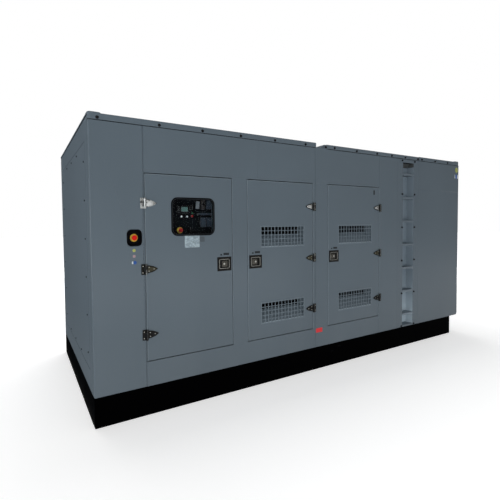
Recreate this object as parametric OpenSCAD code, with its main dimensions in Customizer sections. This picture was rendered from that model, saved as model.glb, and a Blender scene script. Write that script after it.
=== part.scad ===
// Enclosed diesel generator set: a steel sound-proof canopy on a skid base.
// Millimetres, +Z up. The origin is on the ground under the middle of the canopy.
// +X runs along the long side, and the doors that open face -Y.

/* [Overall] */
// Length of the canopy walls
body_l = 5000; // [4150:50:6500]
// Width of the canopy over its long walls
body_w = 1950; // [1600:25:2400]
// Height from the ground to the top of the roof
body_h = 2400; // [2000:20:3000]
// Thickness of the wall panels, skin and lining together
wall_t = 50; // [40:2:60]
// Width of the seams between bolted wall panels
seam = 2; // [1:0.5:4]

/* [Skid base] */
// Height of the skid
base_h = 240; // [180:10:320]
// How far the canopy overhangs the skid at the right end
base_inset = 180; // [120:10:260]
// Width of a skid side rail
rail_w = 80; // [70:5:120]
// Thickness of the deck plate
deck_t = 12; // [8:1:20]
// Number of cross members between the end members
cross_count = 3; // [1:1:5]
// Thickness of the plate that closes the overhang from below
overhang_t = 6; // [4:1:10]
// Radius of the canopy's lower corner over the overhang
low_corner_r = 36; // [4:1:38]

/* [Roof] */
// Height of the roof pans, which show as a trim strip
roof_t = 47; // [40:1:60]
// How far the roof stands out past the walls
roof_lap = 5; // [2:1:10]
// Radius of the roof's corners, seen from above
roof_r = 30; // [10:5:60]
// Thickness of the roof's edge over an end wall
roof_edge = 10; // [4:1:20]
// How far the first roof pan reaches past the front wall's seam
roof_over = 10; // [0:1:20]
// Width of the gutter between the first and second roof pans
gutter_w = 155; // [130:5:200]
// Thickness of the gutter plate
gutter_t = 5; // [3:1:8]
// How far the gutter plate reaches under each roof pan
gutter_lap = 30; // [10:5:60]

/* [Front wall] */
// Width of the left corner panel
corner_w = 418; // [340:2:500]
// Width of the first and second door openings
door_w = 834; // [690:2:900]
// Width of the third door opening
door_3_w = 850; // [700:2:900]
// Width of the wall between the first and second doors
post_1_w = 156; // [120:2:200]
// Width of the wall between the second and third doors
post_2_w = 206; // [160:2:260]
// Width of the plain panel between the third door and the ladder bay
mid_w = 347; // [300:2:400]
// Width of the ladder bay
ladder_bay_w = 423; // [400:1:480]
// Height of the sill below the doors
sill_h = 200; // [150:5:260]
// Height of the header above the doors
header_h = 373; // [300:1:450]
// Where the panel seam crosses the wall between the second and third doors
post_seam = 26; // [20:1:60]

/* [Doors] */
// Gap around a door
door_gap = 8; // [8:0.5:12]
// Thickness of a door
door_t = 40; // [30:1:45]

/* [Hinges] */
// Height of a hinge
hinge_h = 86; // [60:2:110]
// Distance from the door face out to the hinge axis
hinge_out = 14; // [12:0.5:18]
// Radius of a hinge knuckle
knuckle_r = 10; // [8:0.5:12]
// Radius of a hinge pin
pin_r = 4; // [3:0.5:5]
// Running gap between a pin and its knuckle
pin_gap = 0.3; // [0.1:0.1:0.5]
// Length of the middle knuckle, which the door carries
knuckle_h = 34; // [24:1:44]
// Gap between neighbouring knuckles
knuckle_gap = 1; // [0.5:0.5:2]
// Width of the leaf on the wall
wall_leaf_w = 36; // [28:1:50]
// Length of the pointed leaf on the door
door_leaf_w = 102; // [80:1:130]
// Height of the pointed leaf where it leaves the knuckle
door_leaf_h = 62; // [50:1:80]
// Thickness of a hinge leaf
leaf_t = 7; // [5:0.5:8]
// Metal between a knuckle and its leaf
knuckle_web = 2; // [1:0.5:3]
// Height of the lowest hinge above the sill
hinge_low = 228; // [150:2:300]
// Distance from the highest hinge up to the header
hinge_high = 245; // [150:5:300]

/* [Locks] */
// Width of a lock's flange
lock_w = 145; // [120:1:160]
// Height of a lock's flange
lock_h = 126; // [100:1:140]
// Distance from a door's free edge to the lock
lock_edge = 14; // [10:1:30]
// Width of the lock's flange beside its cup
lock_rim = 10; // [8:1:16]
// How far a lock's flange stands proud of its door
lock_proud = 3; // [2:0.5:5]
// Depth of a lock's cup inside the door
lock_depth = 24; // [18:1:28]
// Depth of the hand recess
lock_recess = 15; // [10:1:18]
// Gap between the paddle and the sides of the hand recess
paddle_gap = 14; // [8:1:20]
// Depth of the paddle's face behind the door face
paddle_back = 3; // [1:0.5:6]
// Radius of the key barrel
barrel_r = 11; // [8:0.5:14]

/* [Window] */
// Width of the window over its rubber
window_w = 413; // [300:1:480]
// Height of the window over its rubber
window_h = 326; // [240:1:400]
// Distance from the left edge of the door opening to the window
window_side = 231; // [180:1:260]
// Distance from the header down to the window
window_drop = 190; // [120:5:260]
// Radius of the window's corners
window_r = 58; // [40:1:80]
// Width of the rubber lip that lies on the door
rubber_lip = 8; // [6:1:12]
// Width of the rubber inside the cut-out
rubber_in = 10; // [6:1:14]
// How far the rubber stands proud of the door
rubber_proud = 4; // [2:0.5:6]
// Depth of the rubber inside the door
rubber_depth = 14; // [10:1:20]
// Thickness of the glass
glass_t = 5; // [3:0.5:8]
// Depth of the glass behind the door face
glass_back = 4; // [2:0.5:8]

/* [Grilles] */
// Number of holes along a grille
grille_cols = 13; // [9:1:15]
// Number of rows of holes
grille_rows = 5; // [3:1:6]
// Spacing of the holes along a grille
grille_px = 41.5; // [38:0.5:46]
// Spacing of the rows
grille_pz = 40; // [38:0.5:44]
// Size of a square hole
grille_hole = 34; // [22:0.5:36]
// Thickness of the pierced sheet
grille_t = 3; // [2:0.5:4]
// Plain edge around a grille's holes
grille_edge = 11; // [8:1:20]
// How far a grille's middle lies right of its door's middle
grille_off = 15; // [0:1:30]
// Height of a lower grille's middle above the sill
grille_low = 251; // [200:1:300]
// Distance from a lock up to the grille above it
grille_gap = 60; // [30:2:100]
// How far the sound baffles reach behind the door face
baffle_depth = 95; // [60:1:120]
// Height of the slot left open over a baffle's back edge
baffle_slot = 88; // [50:2:100]
// Thickness of the baffle sheet
baffle_t = 3; // [2:0.5:5]

/* [Ladder] */
// Width of the ladder insert over its flanges
ladder_w = 312; // [300:2:340]
// Width of a ladder flange
flange_w = 46; // [36:1:60]
// Depth of the ladder recess
ladder_d = 95; // [80:5:160]
// Thickness of the ladder's sheet
ladder_sheet = 4; // [3:0.5:6]
// Spacing of the rungs
rung_pitch = 294; // [250:2:300]
// Height of the lowest rung's top above the skid
rung_rise = 170; // [140:5:220]
// Height of the plain lip below the recess
ladder_lip = 20; // [10:2:40]
// Thickness of a rung
rung_t = 25; // [20:1:35]
// Least height of the foothold over the highest rung
rung_head = 100; // [80:5:140]
// Height of the slot left open above the ladder's cheeks
cheek_slot = 45; // [30:5:60]

/* [Emergency stop] */
// Width of the stop's housing
stop_w = 121; // [100:1:140]
// Height of the stop's housing
stop_h = 131; // [110:1:150]
// Radius of the housing's corners
stop_r = 36; // [12:1:40]
// Distance from the first door opening back to the stop's middle
stop_side = 82; // [70:1:120]
// Height of the stop's middle over the middle hinge
stop_rise = 257; // [150:1:300]
// Depth of the housing in the wall
stop_depth = 45; // [35:1:50]
// Depth of the recess that guards the button
stop_recess = 24; // [18:1:30]
// Wall of the housing
stop_wall = 7; // [5:0.5:10]
// Radius of the yellow collar
collar_r = 31; // [25:0.5:35]
// Thickness of the collar
collar_t = 5; // [3:0.5:8]
// Radius of the red head
head_r = 21; // [16:0.5:24]
// Height of the red head over its stem
head_h = 11; // [8:0.5:14]
// Radius of the button's stem
stem_r = 12; // [8:0.5:14]
// Length of the button's stem
stem_h = 8; // [5:0.5:12]

/* [End covers] */
// Width of the wall left beside an end cover
cover_side = 165; // [120:5:220]
// Height of the wall left below an end cover
cover_low = 170; // [120:5:240]
// Height of the wall left above an end cover
cover_high = 138; // [100:2:200]
// Thickness of an end cover
cover_t = 6; // [4:0.5:10]
// Gap around an end cover
cover_gap = 4; // [2:0.5:6]

/* [Control cabinet] */
// Width of the control cabinet
cabinet_w = 700; // [500:10:760]
// Height of the control cabinet
cabinet_h = 660; // [500:10:720]
// Depth of the control cabinet
cabinet_d = 230; // [150:10:300]
// Left edge of the cabinet, from the left edge of the first door opening
cabinet_x = 72; // [60:2:120]
// Distance from the window's lower edge down to the cabinet's underside
cabinet_drop = 224; // [180:2:260]
// Distance from the wall face to the cabinet's front
cabinet_back = 112; // [90:2:160]
// Width of a stand leg
leg_w = 60; // [40:5:80]
// Thickness of a foot plate
foot_t = 8; // [5:1:12]

/* [Hidden] */
$fn = 48;

wall_top = body_h - roof_t;
wall_h = wall_top - base_h;
end_rise = roof_t - roof_edge;
sill_top = base_h + sill_h;
head_low = wall_top - header_h;
door_h = head_low - sill_top;
base_l = body_l - base_inset;

// Places along the front wall, from the left end
door_1_x = corner_w;
post_1_x = door_1_x + door_w;
door_2_x = post_1_x + post_1_w;
post_2_x = door_2_x + door_w;
door_3_x = post_2_x + post_2_w;
mid_x = door_3_x + door_3_w;
bay_x = mid_x + mid_w;
corner_r_x = bay_x + ladder_bay_w;
wall_seam_x = post_2_x + post_seam;

// Outline of the gutter's curved flange, from the foot of the second roof pan's left end
COVE = [[-110, 0], [0, 0], [0, 41], [-32, 40], [-40, 38], [-48, 34], [-55, 28], [-62, 20], [-70, 13],
        [-82, 7]];

// Each door: its opening's left edge, its opening's width, and 1 where its hinges are on the left
DOORS = [[door_1_x, door_w, 1], [door_2_x, door_w, 0], [door_3_x, door_3_w, 0]];

// Heights on the doors
hinge_low_z = sill_top + hinge_low;
hinge_high_z = head_low - hinge_high;
middle_z = (hinge_low_z + hinge_high_z) / 2;
HINGE_Z = [hinge_low_z, middle_z, hinge_high_z];
grille_w = (grille_cols - 1) * grille_px + grille_hole + 2 * grille_edge;
grille_h = (grille_rows - 1) * grille_pz + grille_hole + 2 * grille_edge;
GRILLE_Z = [sill_top + grille_low, middle_z + lock_h / 2 + grille_gap + grille_h / 2];
baffle_rise = grille_h - baffle_slot;

roof_1_end = wall_seam_x + seam + roof_over;
roof_2_x = roof_1_end + gutter_w;
roof_3_x = corner_r_x + seam;

window_x = door_1_x + window_side + window_w / 2;
window_z = head_low - window_drop - window_h / 2;

window_cut_w = window_w - 2 * rubber_lip;
window_cut_h = window_h - 2 * rubber_lip;
window_cut_r = window_r - rubber_lip;
pane_w = window_cut_w - 2 * rubber_in;
pane_h = window_cut_h - 2 * rubber_in;
pane_r = window_cut_r - rubber_in;

ladder_x = bay_x + (ladder_bay_w - ladder_w) / 2;
recess_x = ladder_x + flange_w;
recess_w = ladder_w - 2 * flange_w;
recess_low = base_h + ladder_lip;
recess_top = wall_top - flange_w;
rung_low = base_h + rung_rise;
rung_count = floor((recess_top - rung_head - rung_low) / rung_pitch) + 1;

stop_x = corner_w - stop_side;
stop_z = middle_z + stop_rise;
cabinet_z = window_z - window_h / 2 - cabinet_drop;

lock_cut_w = lock_w - 2 * lock_rim;
lock_cut_h = lock_h - 2 * lock_rim;

paint = "#5d6770";
dark_paint = "#4f5a62";
black = "#15161a";

// Places its children with X from the canopy's left end and Y from the front face inwards
module from_front() {
    translate([-body_l / 2, -body_w / 2, 0]) children();
}

// A slab in the front wall, from x to x + w and z to z + h, t thick
module slab(x, z, w, h, t = wall_t) {
    translate([x, 0, z]) cube([w, t, h]);
}

// The same shape on the rear wall
module on_rear() {
    mirror([0, 1, 0]) from_front() children();
}

// A rectangle with round corners, centred
module round_outline(w, h, r) {
    difference() {
        square([w, h], center = true);
        for (sx = [-1, 1], sy = [-1, 1]) {
            translate([sx * w / 2, sy * h / 2]) difference() {
                square(2 * r, center = true);
                translate([-sx * r, -sy * r]) circle(r);
            }
        }
    }
}

// An upright plate of width w and height h with round corners, centred on x and z
module round_plate(x, z, w, h, r, y0, y1) {
    translate([x, y1, z]) rotate([90, 0, 0]) linear_extrude(y1 - y0) round_outline(w, h, r);
}

// What lies outside the canopy's rounded lower corner at the right end
module outside_low_corner() {
    translate([body_l / 2 - low_corner_r, body_w, base_h + low_corner_r]) rotate([90, 0, 0])
        linear_extrude(2 * body_w) difference() {
            translate([0, -low_corner_r - 1]) square(low_corner_r + 1);
            circle(low_corner_r);
        }
}

// ---------- skid base ----------

module base_rail(side) {
    color(black) translate([-body_l / 2, side * (body_w - rail_w) / 2 - rail_w / 2, 0])
        cube([base_l, rail_w, base_h]);
}

module base_end_members() {
    color(black) from_front() for (x = [0, base_l - rail_w]) {
        translate([x, rail_w, 0]) cube([rail_w, body_w - 2 * rail_w, base_h]);
    }
}

module base_cross_members() {
    pitch = (base_l - rail_w) / (cross_count + 1);
    color(black) from_front() for (i = [1:cross_count]) {
        translate([i * pitch, rail_w, 0]) cube([rail_w, body_w - 2 * rail_w, base_h - deck_t]);
    }
}

module deck_plate() {
    color(black) from_front() translate([rail_w, rail_w, base_h - deck_t])
        cube([base_l - 2 * rail_w, body_w - 2 * rail_w, deck_t]);
}

// Closes the canopy from below where it overhangs the skid, cut out round the ladder insert
module overhang_plate() {
    color(dark_paint) from_front() difference() {
        translate([base_l - rail_w, wall_t, base_h])
            cube([base_inset + rail_w - wall_t, body_w - 2 * wall_t, overhang_t]);
        translate([recess_x - ladder_sheet - seam, 0, base_h - 1])
            cube([recess_w + 2 * (ladder_sheet + seam), ladder_d + ladder_sheet + seam, overhang_t + 2]);
    }
}

// ---------- front wall ----------

module corner_panel_left() {
    color(paint) from_front() difference() {
        slab(0, base_h, corner_w, wall_h);
        round_plate(stop_x, stop_z, stop_w, stop_h, stop_r, -1, wall_t + 1);
    }
}

module front_header() {
    color(paint) from_front() {
        slab(door_1_x + seam, head_low, wall_seam_x - door_1_x - seam, wall_top - head_low);
        slab(wall_seam_x + seam, head_low, mid_x - wall_seam_x - seam, wall_top - head_low);
    }
}

module front_sill() {
    color(paint) from_front() {
        slab(door_1_x + seam, base_h, wall_seam_x - door_1_x - seam, sill_h);
        slab(wall_seam_x + seam, base_h, mid_x - wall_seam_x - seam, sill_h);
    }
}

module post_1() {
    color(paint) from_front() slab(post_1_x, sill_top, post_1_w, door_h);
}

module post_2() {
    color(paint) from_front() {
        slab(post_2_x, sill_top, post_seam, door_h);
        slab(wall_seam_x + seam, sill_top, post_2_w - post_seam - seam, door_h);
    }
}

module mid_panel() {
    color(paint) from_front() slab(mid_x + seam, base_h, mid_w - 2 * seam, wall_h);
}

module corner_panel_right() {
    color(paint) difference() {
        from_front() slab(corner_r_x + seam, base_h, body_l - corner_r_x - seam, wall_h);
        outside_low_corner();
    }
}

// ---------- ladder bay ----------

module ladder_surround() {
    color(paint) from_front() {
        slab(bay_x, base_h, ladder_x - bay_x - seam, wall_h);
        slab(ladder_x + ladder_w + seam, base_h, ladder_x - bay_x - seam, wall_h);
    }
}

module ladder_flanges() {
    color(paint) from_front() {
        for (x = [ladder_x, recess_x + recess_w]) slab(x, base_h, flange_w, wall_h, ladder_sheet);
        slab(recess_x, recess_top, recess_w, wall_top - recess_top, ladder_sheet);
        slab(recess_x, base_h, recess_w, recess_low - base_h, ladder_sheet);
    }
}

module ladder_cheeks() {
    color(paint) from_front() for (x = [recess_x - ladder_sheet, recess_x + recess_w]) {
        translate([x, ladder_sheet, base_h])
            cube([ladder_sheet, ladder_d, recess_top - cheek_slot - base_h]);
    }
}

module ladder_back() {
    color(paint) from_front() {
        translate([recess_x, ladder_d, recess_low])
            cube([recess_w, ladder_sheet, recess_top - cheek_slot - recess_low]);
    }
}

// The rungs, and the plate that closes the recess below them
module ladder_rungs() {
    color(paint) from_front() {
        for (i = [0:rung_count - 1]) {
            translate([recess_x, 0, rung_low + i * rung_pitch - rung_t]) cube([recess_w, ladder_d, rung_t]);
        }
        translate([recess_x, ladder_sheet, recess_low - ladder_sheet])
            cube([recess_w, ladder_d - ladder_sheet, ladder_sheet]);
    }
}

// ---------- ends, rear and roof ----------

module end_wall(side) {
    cover_w = body_w - 2 * cover_side;
    cover_h = wall_h - cover_low - cover_high;
    color(dark_paint) difference() {
        translate([side * (body_l - wall_t) / 2, 0, base_h + (wall_h + end_rise) / 2])
            cube([wall_t, body_w - 2 * wall_t, wall_h + end_rise], center = true);
        translate([side * (body_l / 2), 0, base_h + cover_low + cover_h / 2])
            cube([2 * cover_t, cover_w + 2 * cover_gap, cover_h + 2 * cover_gap], center = true);
        outside_low_corner();
    }
}

module end_cover(side) {
    cover_h = wall_h - cover_low - cover_high;
    color(dark_paint) translate([side * (body_l - cover_t) / 2, 0, base_h + cover_low + cover_h / 2])
        cube([cover_t, body_w - 2 * cover_side, cover_h], center = true);
}

module rear_wall() {
    color(paint) difference() {
        on_rear() difference() {
            slab(0, base_h, body_l, wall_h);
            for (d = DOORS) translate([0, -1, 0]) slab(d[0], sill_top, d[1], door_h, wall_t + 2);
        }
        outside_low_corner();
    }
}

module rear_doors() {
    color(paint) on_rear() {
        door_leaf(DOORS[0]);
        grilled_door(DOORS[1]);
        grilled_door(DOORS[2]);
    }
}

module rear_hinges() {
    color(black) on_rear() for (d = DOORS) at_hinges(d) {
        whole_hinge();
    }
}

// The stretch of the roof from x0 to x1, cut away where an end wall rises into it
module roof_pan(x0, x1) {
    color(paint) translate([0, 0, wall_top]) difference() {
        linear_extrude(roof_t) intersection() {
            round_outline(body_l + 2 * roof_lap, body_w + 2 * roof_lap, roof_r);
            translate([x0 - body_l / 2, -body_w / 2 - roof_lap]) square([x1 - x0, body_w + 2 * roof_lap]);
        }
        for (side = [-1, 1]) {
            translate([side * body_l / 2, 0, 0])
                cube([2 * wall_t, body_w - 2 * wall_t, 2 * end_rise], center = true);
            translate([side * (body_l + wall_t) / 2, 0, 0])
                cube([wall_t, 2 * body_w, 2 * end_rise], center = true);
        }
    }
}

// The gutter plate, with the curved flange that rises to the second roof pan
module roof_gutter() {
    color(dark_paint) from_front() {
        translate([roof_1_end - gutter_lap, wall_t, wall_top - gutter_t])
            cube([gutter_w + 2 * gutter_lap, body_w - 2 * wall_t, gutter_t]);
        translate([roof_2_x, 0, wall_top]) rotate([90, 0, 0]) mirror([0, 0, 1])
            linear_extrude(body_w) polygon(COVE);
    }
}

// ---------- doors ----------

// A door leaf with a pocket for its lock
module door_leaf(d) {
    difference() {
        slab(d[0] + door_gap, sill_top + door_gap, d[1] - 2 * door_gap, door_h - 2 * door_gap, door_t);
        translate([lock_x(d) - lock_cut_w / 2, -1, middle_z - lock_cut_h / 2])
            cube([lock_cut_w, lock_depth + 1, lock_cut_h]);
    }
}

// A door leaf with cut-outs for its two grilles
module grilled_door(d) {
    difference() {
        door_leaf(d);
        for (z = GRILLE_Z) {
            translate([grille_x(d) - grille_w / 2, -1, z - grille_h / 2])
                cube([grille_w, door_t + 2, grille_h]);
        }
    }
}

// Middle of a door's grilles along the wall
function grille_x(d) = d[0] + d[1] / 2 + grille_off;

// Middle of a door's lock along the wall
function lock_x(d) = d[2] == 1 ? d[0] + d[1] - door_gap - lock_edge - lock_w / 2
                               : d[0] + door_gap + lock_edge + lock_w / 2;

// Puts a hinge's axis in the gap at each of a door's three hinges, its door leaf towards the door
module at_hinges(d) {
    x = d[2] == 1 ? d[0] + door_gap / 2 : d[0] + d[1] - door_gap / 2;
    for (z = HINGE_Z) translate([x, -hinge_out, z]) mirror([1 - d[2], 0, 0]) children();
}

// A knuckle with the web that joins it to its leaf; way is 1 towards the door, -1 towards the wall
module knuckle(z, h, way) {
    translate([0, 0, z]) {
        cylinder(r = knuckle_r, h = h);
        translate([way > 0 ? 0 : -knuckle_r - knuckle_web, hinge_out - leaf_t - knuckle_web, 0])
            cube([knuckle_r + knuckle_web, leaf_t + knuckle_web, h]);
    }
}

// The wall leaf: a plate, two outer knuckles and the pin
module wall_leaf() {
    end_h = (hinge_h - knuckle_h) / 2 - knuckle_gap;
    translate([-wall_leaf_w, hinge_out - leaf_t, -hinge_h / 2])
        cube([wall_leaf_w - knuckle_r - knuckle_web, leaf_t, hinge_h]);
    knuckle(-hinge_h / 2, end_h, -1);
    knuckle(hinge_h / 2 - end_h, end_h, -1);
    translate([0, 0, -hinge_h / 2]) cylinder(r = pin_r, h = hinge_h);
}

// Outline of the pointed door leaf: two arcs that run from its root to its tip
module pointed_outline() {
    root = knuckle_r + knuckle_web;
    run = door_leaf_w - root;
    half = door_leaf_h / 2;
    arc_r = (run * run + half * half) / (2 * half);
    intersection() {
        translate([root, -half]) square([run, door_leaf_h]);
        translate([root, half - arc_r]) circle(arc_r);
        translate([root, arc_r - half]) circle(arc_r);
    }
}

// The door leaf: a pointed plate and the middle knuckle
module pointed_leaf() {
    difference() {
        union() {
            translate([0, hinge_out, 0]) rotate([90, 0, 0]) linear_extrude(leaf_t) pointed_outline();
            knuckle(-knuckle_h / 2, knuckle_h, 1);
        }
        translate([0, 0, -knuckle_h]) cylinder(r = pin_r + pin_gap, h = 2 * knuckle_h);
    }
}

// A hinge of a rear door, as one closed piece
module whole_hinge() {
    translate([-wall_leaf_w, hinge_out - leaf_t, -hinge_h / 2]) cube([wall_leaf_w, leaf_t, hinge_h]);
    translate([0, hinge_out, 0]) rotate([90, 0, 0]) linear_extrude(leaf_t) pointed_outline();
    knuckle(-hinge_h / 2, hinge_h, 1);
}

module wall_hinge_leaves() {
    color(black) from_front() for (d = DOORS) at_hinges(d) wall_leaf();
}

module hinge_leaves(d) {
    color(black) from_front() at_hinges(d) pointed_leaf();
}

// A recessed paddle lock: flange, cup, raised paddle and key barrel
module paddle_lock(d) {
    recess_w = lock_cut_w - 2 * lock_rim;
    recess_h = lock_cut_h - 2 * lock_rim;
    paddle_w = recess_w - 2 * paddle_gap;
    paddle_h = recess_h - 2 * paddle_gap;
    translate([lock_x(d), 0, middle_z]) {
        difference() {
            union() {
                translate([-lock_w / 2, -lock_proud, -lock_h / 2]) cube([lock_w, lock_proud, lock_h]);
                translate([-lock_cut_w / 2, 0, -lock_cut_h / 2])
                    cube([lock_cut_w, lock_depth, lock_cut_h]);
            }
            translate([-recess_w / 2, -lock_proud - 1, -recess_h / 2])
                cube([recess_w, lock_recess + lock_proud + 1, recess_h]);
        }
        translate([-paddle_w / 2, paddle_back, -paddle_h / 2])
            cube([paddle_w, lock_recess - paddle_back, paddle_h]);
        translate([0, lock_recess, 0]) rotate([90, 0, 0]) cylinder(r = barrel_r, h = lock_recess);
    }
}

module lock(d) {
    color(black) from_front() paddle_lock(d);
}

module rear_locks() {
    color(black) on_rear() for (d = DOORS) paddle_lock(d);
}

module grilles(d) {
    for (z = GRILLE_Z) translate([grille_x(d), grille_t, z]) rotate([90, 0, 0]) {
        linear_extrude(grille_t) difference() {
            square([grille_w, grille_h], center = true);
            for (i = [0:grille_cols - 1], j = [0:grille_rows - 1]) {
                translate([(i - (grille_cols - 1) / 2) * grille_px, (j - (grille_rows - 1) / 2) * grille_pz])
                    square(grille_hole, center = true);
            }
        }
    }
}

// A hood behind each grille: a sheet that slopes back and up from the lower edge, and two cheeks.
// Air passes through the slot over the sheet's back edge.
module baffles(d) {
    for (z = GRILLE_Z) translate([grille_x(d) - grille_w / 2, grille_t, z - grille_h / 2]) {
        depth = baffle_depth - grille_t;
        rotate([90, 0, 90]) linear_extrude(grille_w)
            polygon([[0, 0], [baffle_t, 0], [depth, baffle_rise - baffle_t], [depth, baffle_rise],
                     [depth - baffle_t, baffle_rise], [0, baffle_t]]);
        for (x = [0, grille_w - baffle_t]) {
            translate([x, 0, 0]) rotate([90, 0, 90]) linear_extrude(baffle_t)
                polygon([[0, 0], [baffle_t, 0], [depth, baffle_rise - baffle_t], [depth, grille_h],
                         [0, grille_h]]);
        }
    }
}

module door_1() {
    color(paint) from_front() difference() {
        door_leaf(DOORS[0]);
        round_plate(window_x, window_z, window_cut_w, window_cut_h, window_cut_r, -1, door_t + 1);
    }
}

module window_rubber() {
    color(black) from_front() difference() {
        union() {
            round_plate(window_x, window_z, window_w, window_h, window_r, -rubber_proud, 0);
            round_plate(window_x, window_z, window_cut_w, window_cut_h, window_cut_r, 0, rubber_depth);
        }
        round_plate(window_x, window_z, pane_w, pane_h, pane_r, -rubber_proud - 1, rubber_depth + 1);
    }
}

module window_glass() {
    color("#20262b", 0.5) from_front()
        round_plate(window_x, window_z, pane_w, pane_h, pane_r, glass_back, glass_back + glass_t);
}

// ---------- emergency stop ----------

module stop_housing() {
    color(black) from_front() difference() {
        round_plate(stop_x, stop_z, stop_w, stop_h, stop_r, 0, stop_depth);
        round_plate(stop_x, stop_z, stop_w - 2 * stop_wall, stop_h - 2 * stop_wall, stop_r - stop_wall,
                    -1, stop_recess);
    }
}

module stop_collar() {
    color("gold") from_front() translate([stop_x, stop_recess, stop_z]) rotate([90, 0, 0])
        cylinder(r = collar_r, h = collar_t);
}

module stop_button() {
    color("red") from_front() translate([stop_x, stop_recess - collar_t, stop_z]) rotate([90, 0, 0]) {
        cylinder(r = stem_r, h = stem_h);
        translate([0, 0, stem_h]) cylinder(r = head_r, h = head_h);
    }
}

// ---------- control cabinet ----------

module control_cabinet() {
    color(black) from_front() translate([door_1_x + cabinet_x, cabinet_back, cabinet_z])
        cube([cabinet_w, cabinet_d, cabinet_h]);
}

module control_stand() {
    foot_w = 2 * leg_w;
    color(dark_paint) from_front() {
        for (x = [0, cabinet_w - foot_w]) translate([door_1_x + cabinet_x + x, cabinet_back, base_h]) {
            cube([foot_w, cabinet_d, foot_t]);
            translate([leg_w / 2, (cabinet_d - leg_w) / 2, foot_t])
                cube([leg_w, leg_w, cabinet_z - base_h - foot_t]);
        }
    }
}

base_rail(-1);  // base_rail_front
base_rail(1);  // base_rail_rear
base_end_members();
base_cross_members();
deck_plate();
overhang_plate();
corner_panel_left();
front_header();
front_sill();
post_1();
post_2();
mid_panel();
corner_panel_right();
ladder_surround();
ladder_flanges();
ladder_cheeks();
ladder_back();
ladder_rungs();
end_wall(-1);  // left_end_wall
end_cover(-1);  // left_end_cover
end_wall(1);  // right_end_wall
end_cover(1);  // right_end_cover
rear_wall();
rear_doors();
color(paint) on_rear() for (i = [1, 2]) grilles(DOORS[i]);  // rear_grilles
color(paint) on_rear() for (i = [1, 2]) baffles(DOORS[i]);  // rear_baffles
rear_hinges();
rear_locks();
roof_pan(-roof_lap, roof_1_end);  // roof_pan_1
roof_pan(roof_2_x, corner_r_x);  // roof_pan_2
roof_pan(roof_3_x, body_l + roof_lap);  // roof_pan_3
roof_gutter();
wall_hinge_leaves();
stop_housing();
stop_collar();
stop_button();
control_cabinet();
control_stand();
door_1();
hinge_leaves(DOORS[0]);  // door_1_hinge_leaves
lock(DOORS[0]);  // door_1_lock
window_rubber();
window_glass();
color(paint) from_front() grilled_door(DOORS[1]);  // door_2
hinge_leaves(DOORS[1]);  // door_2_hinge_leaves
lock(DOORS[1]);  // door_2_lock
color(paint) from_front() grilles(DOORS[1]);  // door_2_grilles
color(paint) from_front() baffles(DOORS[1]);  // door_2_baffles
color(paint) from_front() grilled_door(DOORS[2]);  // door_3
hinge_leaves(DOORS[2]);  // door_3_hinge_leaves
lock(DOORS[2]);  // door_3_lock
color(paint) from_front() grilles(DOORS[2]);  // door_3_grilles
color(paint) from_front() baffles(DOORS[2]);  // door_3_baffles
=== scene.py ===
"""Finishes, fittings and studio for an enclosed diesel generator set.

Metres, +Z up, +X along the canopy, -Y towards the side whose doors open.
"""

import math

import bmesh
import bpy
from mathutils import Matrix, Vector


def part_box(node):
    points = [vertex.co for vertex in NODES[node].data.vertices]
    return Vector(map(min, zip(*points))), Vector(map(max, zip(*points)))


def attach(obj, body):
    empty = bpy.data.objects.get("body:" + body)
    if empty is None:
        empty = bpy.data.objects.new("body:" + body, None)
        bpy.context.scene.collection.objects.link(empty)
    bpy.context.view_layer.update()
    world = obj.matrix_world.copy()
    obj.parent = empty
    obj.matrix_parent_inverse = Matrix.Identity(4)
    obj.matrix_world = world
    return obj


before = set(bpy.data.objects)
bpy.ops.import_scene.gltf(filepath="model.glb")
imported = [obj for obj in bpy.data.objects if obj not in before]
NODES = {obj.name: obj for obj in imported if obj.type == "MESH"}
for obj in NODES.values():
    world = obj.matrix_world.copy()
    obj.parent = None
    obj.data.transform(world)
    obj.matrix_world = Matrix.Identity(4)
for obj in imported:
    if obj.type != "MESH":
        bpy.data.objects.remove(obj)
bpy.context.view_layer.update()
# Each node's low corner and high corner
BOX = {name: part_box(name) for name in NODES}

# Planes of the canopy
LEFT = BOX["corner_panel_left"][0].x
RIGHT = BOX["corner_panel_right"][1].x
FRONT = BOX["corner_panel_left"][0].y
REAR = BOX["rear_wall"][1].y
WALL = BOX["corner_panel_left"][1].y - FRONT
DECK = BOX["deck_plate"][1].z
WALL_TOP = BOX["corner_panel_left"][1].z
ROOF_TOP = BOX["roof_pan_1"][1].z
ROOF_PANS = ("roof_pan_1", "roof_pan_2", "roof_pan_3")

# Inner faces of the long walls
IN_FRONT = FRONT + WALL
IN_REAR = REAR - WALL

# Each door that opens: its node, its body, and 1 where its hinges are on the left, else -1
DOORS = (("door_1", "first_door", 1), ("door_2", "second_door", -1), ("door_3", "third_door", -1))
DOOR_GAP = 0.008
DOOR_BACK = BOX["door_1"][1].y
DOOR_T = DOOR_BACK - FRONT

# Grilles and hinges, as the frame has them
GRILLE_H = 0.216
HINGE_H = 0.086
LEAF_T = 0.007
hinge_low = BOX["wall_hinge_leaves"][0].z + HINGE_H / 2
hinge_high = BOX["wall_hinge_leaves"][1].z - HINGE_H / 2
HINGE_Z = (hinge_low, (hinge_low + hinge_high) / 2, hinge_high)

# Edges that turn by more than this are rounded, and faces that meet at less are shaded as one
SHARP = math.radians(40)
SMOOTH = math.radians(35)

# Turns that point a piece's +Z out of each side, with its +Y upwards
OUT_FRONT = Matrix.Rotation(math.radians(90), 4, "X")
OUT_REAR = Matrix.Rotation(math.radians(180), 4, "Z") @ OUT_FRONT
OUT_LEFT = Matrix.Rotation(math.radians(-90), 4, "Z") @ OUT_FRONT
OUT_RIGHT = Matrix.Rotation(math.radians(90), 4, "Z") @ OUT_FRONT


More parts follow.
